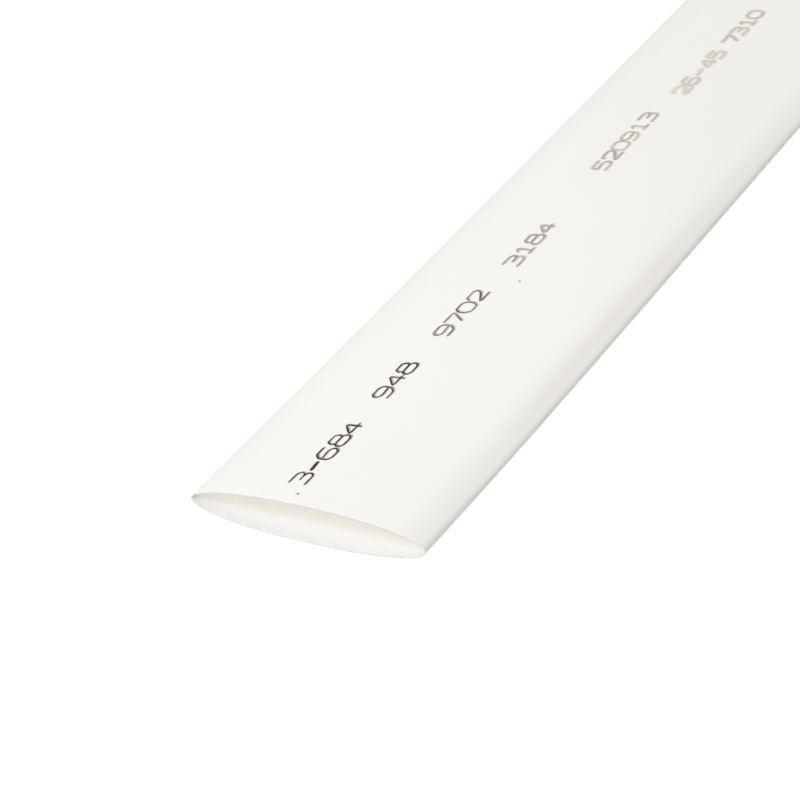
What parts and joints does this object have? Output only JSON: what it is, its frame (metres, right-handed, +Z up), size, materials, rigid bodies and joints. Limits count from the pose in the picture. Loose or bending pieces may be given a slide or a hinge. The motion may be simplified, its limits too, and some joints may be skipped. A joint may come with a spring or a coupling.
{
  "type": "heat shrink tube",
  "caption": "Straight length of white heat shrink tube as supplied, laid flat with a shallow oval section and an open square-cut mouth at each end.",
  "frame": {"origin": "on the floor under the middle of the tube", "axes": "+Y along the tube, X across its flat width, +Z up through its two flat sides"},
  "size_m": [0.0542, 1, 0.0089],
  "materials": {
    "tube": "satin, slightly translucent white",
    "marking": "thin dark printed ink"
  },
  "bodies": {
    "root": {"tube": "tube"}
  },
  "joints": []
}
